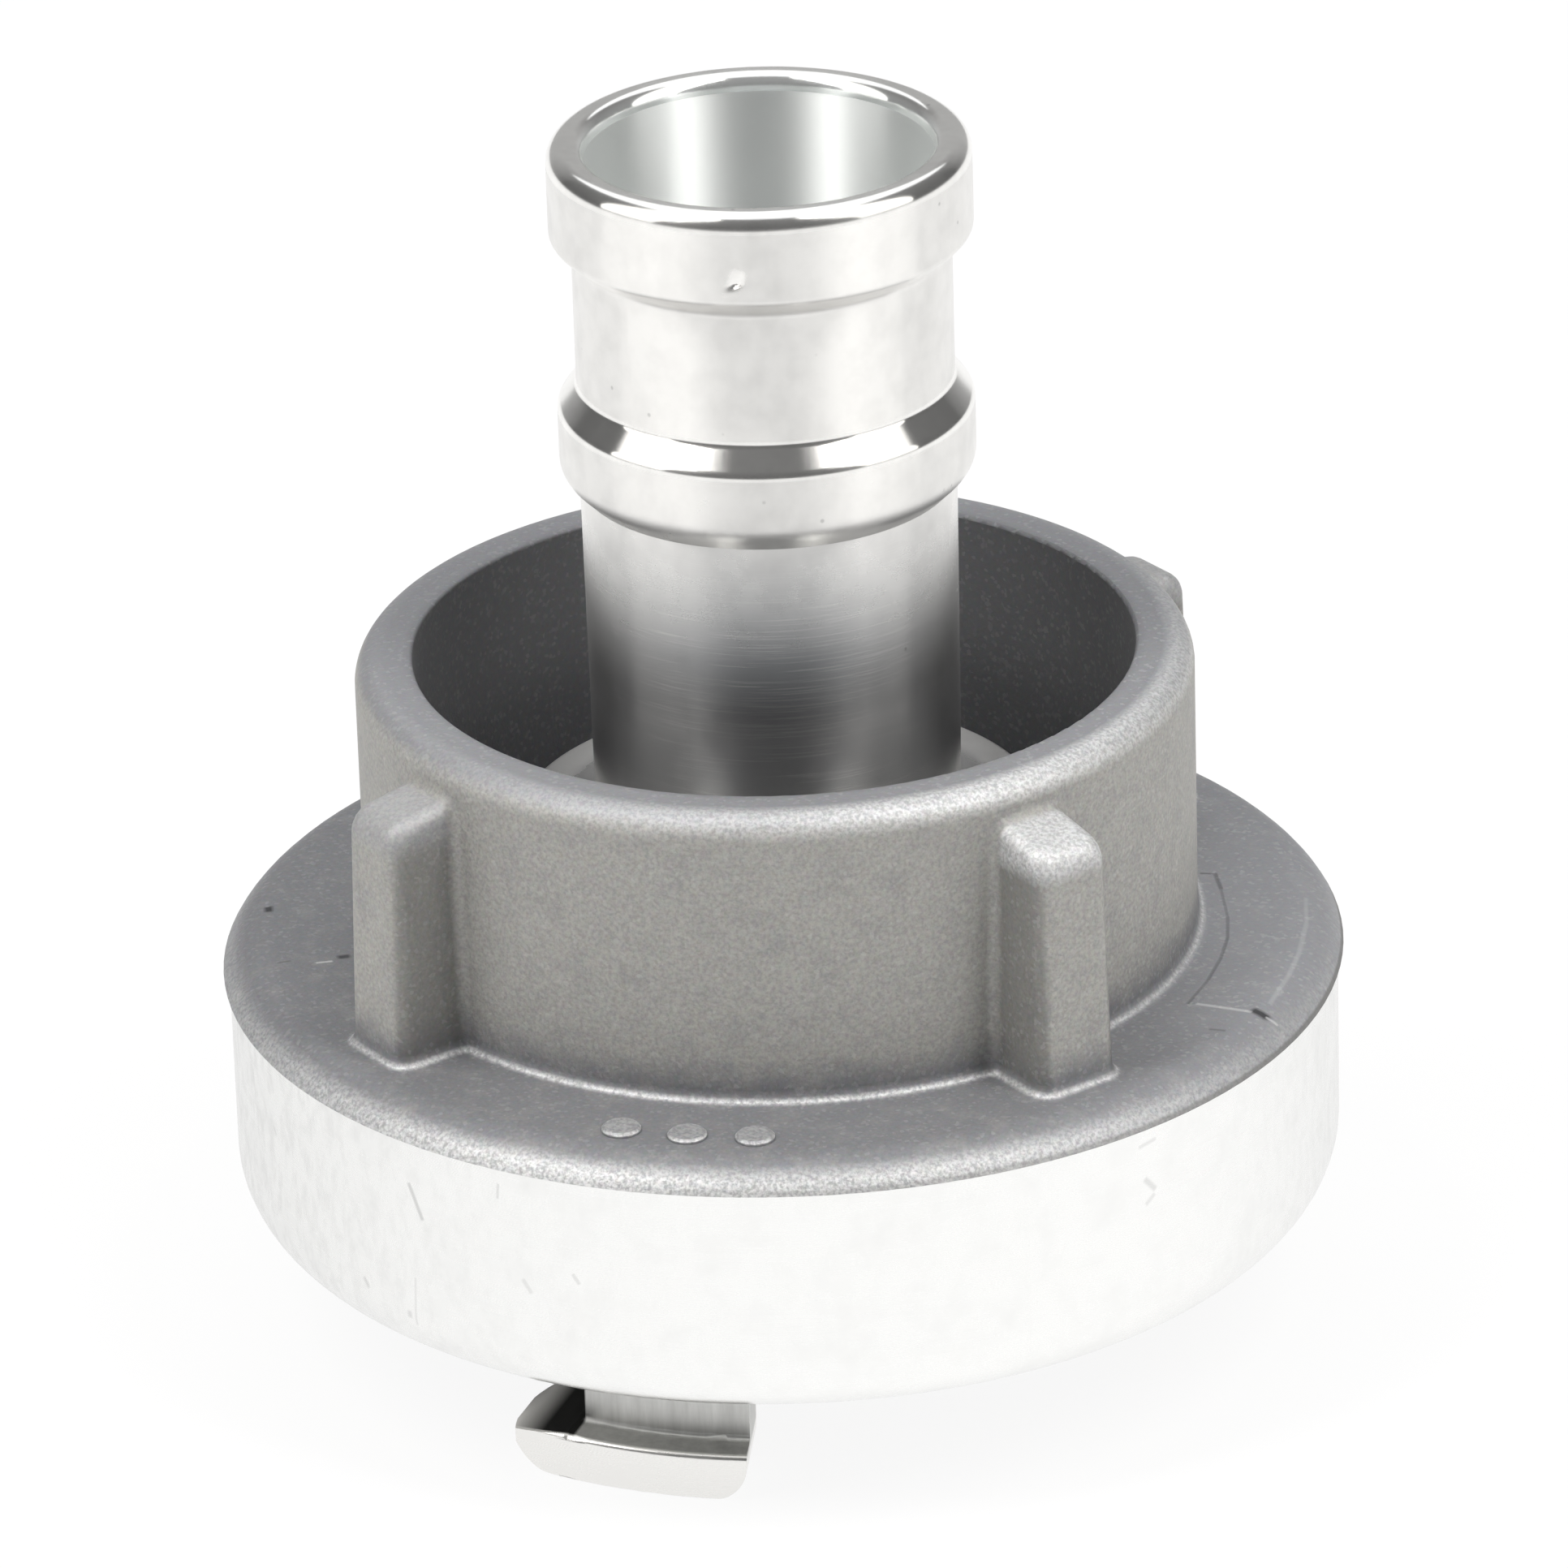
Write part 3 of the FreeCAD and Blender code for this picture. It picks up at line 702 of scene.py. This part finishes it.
def rounded_section(corners, arc_steps=6, side_rows=3, hold=0.04 * MM):
    """Points of a closed half section with rounded corners, from rows of radius, height and rounding.

    A corner with half angle a and rounding r has its arc's centre r / sin a away on the bisector and
    touches both sides r / tan a from the corner. The arc is sampled evenly in angle. Each straight
    side then gets rows at even shares of its length, and one row very near each end, which keeps the
    shading of the flat apart from that of the arc.
    """
    corners = np.array(corners, float)
    points, rounding = corners[:, :2], corners[:, 2]
    back = unit(np.roll(points, 1, axis=0) - points)
    ahead = unit(np.roll(points, -1, axis=0) - points)
    half = np.arccos(np.clip((back * ahead).sum(axis=1), -1, 1)) / 2
    centre = points + unit(back + ahead) * (rounding / np.sin(half))[:, None]
    start = points + back * (rounding / np.tan(half))[:, None] - centre
    turn = np.sign(back[:, 0] * ahead[:, 1] - back[:, 1] * ahead[:, 0])
    sweep = -turn * (math.pi - 2 * half)
    along = np.linspace(0, 1, arc_steps + 1)
    angle = np.arctan2(start[:, 1], start[:, 0])[:, None] + sweep[:, None] * along
    circle = np.stack([np.cos(angle), np.sin(angle)], axis=-1)
    arcs = centre[:, None] + rounding[:, None, None] * circle
    first = arcs[:, -1]
    last = np.roll(arcs[:, 0], -1, axis=0)
    span = np.linalg.norm(last - first, axis=1)
    near = np.minimum(hold / span, 0.2)
    shares = np.linspace(0, 1, side_rows + 2)[1:-1]
    shares = np.concatenate(
        [near[:, None], np.broadcast_to(shares, (len(span), side_rows)), 1 - near[:, None]], axis=1
    )
    sides = first[:, None] + (last - first)[:, None] * shares[..., None]
    return np.concatenate([arcs, sides], axis=1).reshape(-1, 2)


def closed_grid(name, points, wrap_rows=True):
    """A mesh object from a grid of points, rows by columns by 3, whose faces are the grid's cells.

    Cell (i, j) joins points (i, j), (i, j + 1), (i + 1, j + 1) and (i + 1, j). The last column meets
    the first, and so does the last row where the rows wrap.
    """
    rows, columns = points.shape[:2]
    index = np.arange(rows * columns).reshape(rows, columns)
    if wrap_rows:
        index = np.vstack([index, index[:1]])
    index = np.hstack([index, index[:, :1]])
    cells = [index[:-1, :-1], index[:-1, 1:], index[1:, 1:], index[1:, :-1]]
    faces = np.stack(cells, axis=-1).reshape(-1, 4)
    mesh = bpy.data.meshes.new(name)
    mesh.from_pydata(points.reshape(-1, 3), [], faces)
    mesh.shade_smooth()
    mesh.update()
    made = bpy.data.objects.new(name, mesh)
    bpy.context.scene.collection.objects.link(made)
    return made


def lathed(section, angles):
    """Points of a surface of revolution: radius and height of each section point, turned to each angle.

    The point at radius r, height h and angle a is (r sin a, -r cos a, h).
    """
    radius = section[:, 0][:, None]
    height = np.broadcast_to(section[:, 1][:, None], (len(section), len(angles)))
    return np.stack([radius * np.sin(angles), -radius * np.cos(angles), height], axis=-1)


def crowded_angles(count, crowd_angle, crowd_reach, crowd_count):
    """Angles all round, even but for a stretch about one angle where they lie closer together."""
    even = np.linspace(0, 2 * math.pi, count, endpoint=False) + crowd_angle
    away = np.abs((even - crowd_angle + math.pi) % (2 * math.pi) - math.pi) > crowd_reach
    near = crowd_angle + np.linspace(-crowd_reach, crowd_reach, crowd_count)
    return np.sort(np.concatenate([even[away], near]))


def nick_depth(points, sizes):
    """How far the nick pushes the surface in: a bell over the distances along and round the tail.

    It is steeper towards the ring than towards the tip.
    """
    angle = np.arctan2(points[..., 0], -points[..., 1])
    along = points[..., 2] - (TAIL_HIGH.z - sizes.nick_drop)
    along = along / np.where(along < 0, NICK_RINGWARD, NICK_TIPWARD)
    across = (angle - sizes.nick_angle) * HOSE_SEAT_RADIUS / NICK_ASIDE - NICK_LEAN * along
    outside = np.hypot(points[..., 0], points[..., 1]) > HOSE_SEAT_RADIUS - 0.1 * MM
    return np.exp(-(along**2 + across**2)) * sizes.nick_depth * outside


def finer_side(section, radius, low, high, count):
    """The section with more points on its straight side at a radius, from one height to another."""
    side = np.flatnonzero(np.abs(section[:, 0] - radius) < 0.001 * MM)
    heights = np.union1d(section[side, 1], np.linspace(low, high, count))
    rows = np.column_stack([np.full(len(heights), radius), heights])
    return np.vstack([section[: side[0]], rows, section[side[-1] + 1 :]])


def tail_section(sizes, seal):
    """Corners of the tail's half section: radius, height and rounding, from the inlet outwards and up.

    The slope is the one behind the tip bead, and the taper that of the inlet.
    """
    top = TAIL_HIGH.z
    front = TAIL_LOW.z
    neck = BORE_RADIUS + sizes.neck_wall
    second = neck + sizes.second_bead_rise
    second_top = top - sizes.second_bead_drop + sizes.second_bead_shoulder
    second_bottom = second_top - sizes.second_bead_shoulder - sizes.second_bead_length
    tip_bottom = top - sizes.tip_bead_length
    flange = TAIL_HIGH.x
    groove_outer = GASKET_HIGH.x + seal.gasket_clearance
    groove_neck = groove_outer - seal.gasket_catch
    catch_top = front + seal.gasket_catch_height
    groove_top = catch_top + seal.gasket_foot_height
    groove_inner = GASKET_INNER - seal.gasket_clearance
    inlet = groove_inner - sizes.inlet_wall
    spring_height = (SPRING_LOW.z + SPRING_HIGH.z) / 2
    spring_floor = sizes.journal_radius - seal.wire_bite - seal.groove_gap
    spring_half = seal.wire_radius + seal.groove_gap
    fine = 0.08 * MM
    neck_foot = 4 * fine
    slope_foot = 1.0 * MM
    slope_head = 0.8 * MM
    taper_end = 6.0 * MM
    return [
        (inlet, front, fine),
        (groove_inner, front, fine),
        (groove_inner, groove_top, fine),
        (groove_outer, groove_top, fine),
        (groove_outer, catch_top, fine),
        (groove_neck, catch_top, fine),
        (groove_neck, front, fine),
        (flange, front, sizes.edge_break),
        (flange, sizes.thrust_height, sizes.edge_break),
        (sizes.journal_radius, sizes.thrust_height, fine),
        (sizes.journal_radius, spring_height - spring_half, fine),
        (spring_floor, spring_height - spring_half, fine),
        (spring_floor, spring_height + spring_half, fine),
        (sizes.journal_radius, spring_height + spring_half, fine),
        (sizes.journal_radius, sizes.journal_height, sizes.edge_break),
        (neck - sizes.neck_taper, sizes.journal_height, neck_foot),
        (neck, second_bottom - sizes.second_bead_rise, fine),
        (second, second_bottom, sizes.second_bead_heel),
        (second, second_top - sizes.second_bead_shoulder, sizes.shoulder_edge),
        (neck, second_top, sizes.shoulder_root),
        (neck, tip_bottom - sizes.bead_fall, slope_foot),
        (HOSE_SEAT_RADIUS, tip_bottom, slope_head),
        (HOSE_SEAT_RADIUS, top, sizes.tip_rounding),
        (BORE_RADIUS, top, sizes.tip_inner_rounding),
        (BORE_RADIUS, front + sizes.inlet_depth, taper_end),
    ]


def split_wire(wire_radius, ring_radius, height, split_angle):
    """Points of a split ring of round wire whose two ends are half balls.

    The wire's centre runs round the axis at the ring's radius, over all angles but the split. Near an
    end, e away from it along the wire, its radius is sqrt(w^2 - (w - e)^2) for wire radius w.
    """
    reach = (math.pi - split_angle / 2) * ring_radius
    ball = (1 - np.cos(np.linspace(0, math.pi / 2, WIRE_END_ROWS))) * wire_radius
    middle = np.linspace(-reach + wire_radius, reach - wire_radius, WIRE_ROWS)
    along = np.concatenate([ball[:-1] - reach, middle, reach - ball[-2::-1]])
    end_gap = np.minimum(reach - np.abs(along), wire_radius)
    thickness = np.sqrt(np.maximum(wire_radius**2 - (wire_radius - end_gap) ** 2, 0))[:, None]
    round_wire = np.linspace(0, 2 * math.pi, WIRE_STEPS, endpoint=False)
    radius = ring_radius + thickness * np.cos(round_wire)
    up = height + thickness * np.sin(round_wire)
    angle = along[:, None] / ring_radius + math.pi / 2
    return np.stack([radius * np.sin(angle), -radius * np.cos(angle), up], axis=-1)


def gasket_section(seal):
    """Corners of the gasket's half section: a foot under the catch and a lip out of the front."""
    top = GASKET_HIGH.z
    low = GASKET_LOW.z
    foot = GASKET_HIGH.x
    neck = foot - seal.gasket_catch
    catch_top = top - seal.gasket_foot_height + 2 * seal.gasket_clearance
    fine = 0.15 * MM
    return [
        (GASKET_INNER, low, seal.gasket_rounding),
        (neck, low, seal.gasket_rounding),
        (neck, catch_top, fine),
        (foot, catch_top, fine),
        (foot, top, fine),
        (GASKET_INNER, top, fine),
    ]


class COUPLING_OT_claw_ring(bpy.types.Operator):
    """Finishes the claw ring: cast skin, turned band and milled claws"""

    bl_idname = "coupling.claw_ring"
    bl_label = "Claw ring"

    def execute(self, context):
        ring = frame["nodes"]["claw_ring"]
        ring.data.materials.clear()
        ring.data.materials.append(casting_finish())
        return {"FINISHED"}


class COUPLING_OT_hose_tail(bpy.types.Operator):
    """Turns the hose tail from its half section, with the nick in its tip bead"""

    bl_idname = "coupling.hose_tail"
    bl_label = "Hose tail"

    def execute(self, context):
        sizes = context.scene.coupling_tail
        section = rounded_section(tail_section(sizes, context.scene.coupling_seal))
        nick = TAIL_HIGH.z - sizes.nick_drop
        low, high = nick - NICK_ROWS_BELOW, nick + NICK_ROWS_ABOVE
        section = finer_side(section, HOSE_SEAT_RADIUS, low, high, NICK_ROWS)
        angles = crowded_angles(TAIL_STEPS, sizes.nick_angle, NICK_REACH, NICK_STEPS)
        points = lathed(section, angles)
        inwards = -unit(points * (1, 1, 0))
        points = points + inwards * nick_depth(points, sizes)[..., None]
        tail = closed_grid("turned_hose_tail", points)
        tail.data.materials.append(turned_finish())
        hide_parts("hose_tail")
        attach(tail, "tail")
        return {"FINISHED"}


class COUPLING_OT_spring_ring(bpy.types.Operator):
    """Bends the split spring ring in the journal's groove, with rounded wire ends"""

    bl_idname = "coupling.spring_ring"
    bl_label = "Spring ring"

    def execute(self, context):
        seal = context.scene.coupling_seal
        ring_radius = context.scene.coupling_tail.journal_radius - seal.wire_bite + seal.wire_radius
        height = (SPRING_LOW.z + SPRING_HIGH.z) / 2
        points = split_wire(seal.wire_radius, ring_radius, height, seal.split_angle)
        spring = closed_grid("split_spring_ring", points, wrap_rows=False)
        spring.data.materials.append(steel_finish())
        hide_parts("snap_ring")
        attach(spring, "tail")
        return {"FINISHED"}


class COUPLING_OT_gasket(bpy.types.Operator):
    """Moulds the front gasket: a held foot and a rounded sealing lip"""

    bl_idname = "coupling.gasket"
    bl_label = "Front gasket"

    def execute(self, context):
        seal = context.scene.coupling_seal
        section = rounded_section(gasket_section(seal))
        angles = np.linspace(0, 2 * math.pi, GASKET_STEPS, endpoint=False)
        gasket = closed_grid("front_gasket", lathed(section, angles))
        gasket.data.materials.append(rubber_finish())
        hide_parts("gasket")
        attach(gasket, "tail")
        return {"FINISHED"}


def outward(azimuth, elevation):
    """The unit vector from the axis out towards an azimuth, raised by an elevation."""
    level = math.cos(elevation)
    return Vector((math.sin(azimuth) * level, -math.cos(azimuth) * level, math.sin(elevation)))


def softbox(name, azimuth, elevation, distance, width, height, strength, tint):
    """A large soft lamp that faces the coupling; its azimuth is measured from the camera's own.

    A flat lamp of power P and area A has the radiance P / (pi A), which gives its power.
    """
    studio = bpy.context.scene.coupling_studio
    out = outward(studio.camera_azimuth + math.radians(azimuth), math.radians(elevation))
    lamp = bpy.data.lights.new(name, "AREA")
    lamp.shape = "RECTANGLE"
    lamp.size = width
    lamp.size_y = height
    lamp.energy = strength * studio.lamp_brightness * math.pi * width * height
    lamp.color = tint
    made = bpy.data.objects.new(name, lamp)
    made.location = Vector((0, 0, studio.lamp_aim)) + out * distance
    made.rotation_euler = out.to_track_quat("Z", "Y").to_euler()
    made.visible_camera = False
    bpy.context.scene.collection.objects.link(made)


def studio_floor():
    """The pale floor, which shows white to the camera and in reflections and keeps the shadow."""
    studio = bpy.context.scene.coupling_studio
    half = studio.floor_size / 2
    corners = [(-half, -half, 0), (half, -half, 0), (half, half, 0), (-half, half, 0)]
    mesh = bpy.data.meshes.new("floor")
    mesh.from_pydata(corners, [], [(0, 1, 2, 3)])
    floor = bpy.data.objects.new("floor", mesh)
    bpy.context.scene.collection.objects.link(floor)
    material = bpy.data.materials.new("floor_white")
    graph = Graph(material)
    rays = graph.node("LightPath")
    seen = rays.output("Is Camera Ray") + rays.output("Is Glossy Ray") + rays.output("Is Transmission Ray")
    seen = seen.maths("MINIMUM", 1.0)
    paint = graph.node("BsdfDiffuse", sockets=[opaque(studio.floor_paint)])
    glow = graph.node("Emission", sockets=[opaque(1.0), 1.0])
    both = graph.node("MixShader", sockets=[seen * studio.floor_white, paint, glow])
    graph.node("OutputMaterial", sockets=[both])
    floor.data.materials.append(material)


def studio_world():
    """White to the camera, and to the metal a dim room, paler overhead and behind the coupling."""
    studio = bpy.context.scene.coupling_studio
    world = bpy.data.worlds.new("studio_world")
    bpy.context.scene.world = world
    graph = Graph(world)
    direction = graph.node("TexCoord", output="Generated")
    up = graph.node("SeparateXYZ", sockets=[direction]).output("Z")
    stops = [(0.0, studio.room_front), (0.15, 1.3 * studio.room_front), (1.0, studio.room_high)]
    room = graph.node("ValToRGB", {"stops": stops}, [up])
    away = tuple(-outward(studio.camera_azimuth, 0.0))
    behind = graph.node("VectorMath", {"operation": "DOT_PRODUCT"}, [direction, away], "Value")
    behind = behind.above(0.75, 0.3) * up.below(0.55, 0.3)
    room = graph.mix(behind, room, studio.backdrop)
    shown = graph.mix(graph.node("LightPath").output("Is Camera Ray"), room, 1.0)
    background = graph.node("Background", sockets=[shown, 1.0])
    graph.node("OutputWorld", sockets=[background])


def studio_camera():
    """The camera at the photograph's angle, turned so that the aim point falls on its own pixel."""
    studio = bpy.context.scene.coupling_studio
    aim = Vector((0, 0, studio.aim_height))
    out = outward(studio.camera_azimuth, studio.camera_elevation)
    camera = bpy.data.cameras.new("camera")
    camera.sensor_width = SENSOR_WIDTH
    camera.lens = studio.lens
    camera.clip_start = 0.01
    camera.clip_end = 100.0
    focal_pixels = studio.lens / SENSOR_WIDTH * PHOTO_SIDE_PIXELS
    centre = PHOTO_SIDE_PIXELS / 2
    sideways = math.atan((TAIL_AIM_PIXEL[0] - centre) / focal_pixels)
    upwards = math.atan((TAIL_AIM_PIXEL[1] - centre) / focal_pixels)
    turned = (
        out.to_track_quat("Z", "Y").to_matrix()
        @ Matrix.Rotation(sideways, 3, "Y")
        @ Matrix.Rotation(upwards, 3, "X")
        @ Matrix.Rotation(studio.camera_roll, 3, "Z")
    )
    made = bpy.data.objects.new("camera", camera)
    made.matrix_world = Matrix.Translation(aim + out * studio.camera_distance) @ turned.to_4x4()
    bpy.context.scene.collection.objects.link(made)
    bpy.context.scene.camera = made


class COUPLING_OT_studio(bpy.types.Operator):
    """Sets up the floor, the world, the lamps and the camera"""

    bl_idname = "coupling.studio"
    bl_label = "Studio"

    def execute(self, context):
        studio_floor()
        studio_world()
        for lamp in LAMPS:
            softbox(*lamp)
        studio_camera()
        # Light leaves the deep bore only after many mirror bounces.
        context.scene.cycles.glossy_bounces = 12
        context.scene.view_settings.view_transform = "Standard"
        return {"FINISHED"}


class COUPLING_PT_pieces(bpy.types.Panel):
    """Lists the pieces of the coupling and its studio"""

    bl_label = "Claw coupling"
    bl_idname = "COUPLING_PT_pieces"
    bl_space_type = "VIEW_3D"
    bl_region_type = "UI"
    bl_category = "Coupling"

    def draw(self, context):
        for operator in OPERATORS:
            self.layout.operator(operator.bl_idname)


OPERATORS = (
    COUPLING_OT_claw_ring,
    COUPLING_OT_hose_tail,
    COUPLING_OT_spring_ring,
    COUPLING_OT_gasket,
    COUPLING_OT_studio,
)
SETTINGS = {
    "coupling_tail": TailSizes,
    "coupling_seal": SealSizes,
    "coupling_finish": FinishColours,
    "coupling_studio": StudioSettings,
}


def register():
    """Registers the settings, the operators and the panel."""
    for name, group in SETTINGS.items():
        bpy.utils.register_class(group)
        setattr(bpy.types.Scene, name, bpy.props.PointerProperty(type=group))
    for operator in OPERATORS:
        bpy.utils.register_class(operator)
    bpy.utils.register_class(COUPLING_PT_pieces)


def unregister():
    """Takes the panel, the operators and the settings out again."""
    bpy.utils.unregister_class(COUPLING_PT_pieces)
    for operator in reversed(OPERATORS):
        bpy.utils.unregister_class(operator)
    for name, group in reversed(SETTINGS.items()):
        delattr(bpy.types.Scene, name)
        bpy.utils.unregister_class(group)


def main():
    """Registers the classes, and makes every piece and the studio."""
    register()
    bpy.ops.coupling.claw_ring()
    bpy.ops.coupling.hose_tail()
    bpy.ops.coupling.spring_ring()
    bpy.ops.coupling.gasket()
    bpy.ops.coupling.studio()


if __name__ == "__main__":
    main()
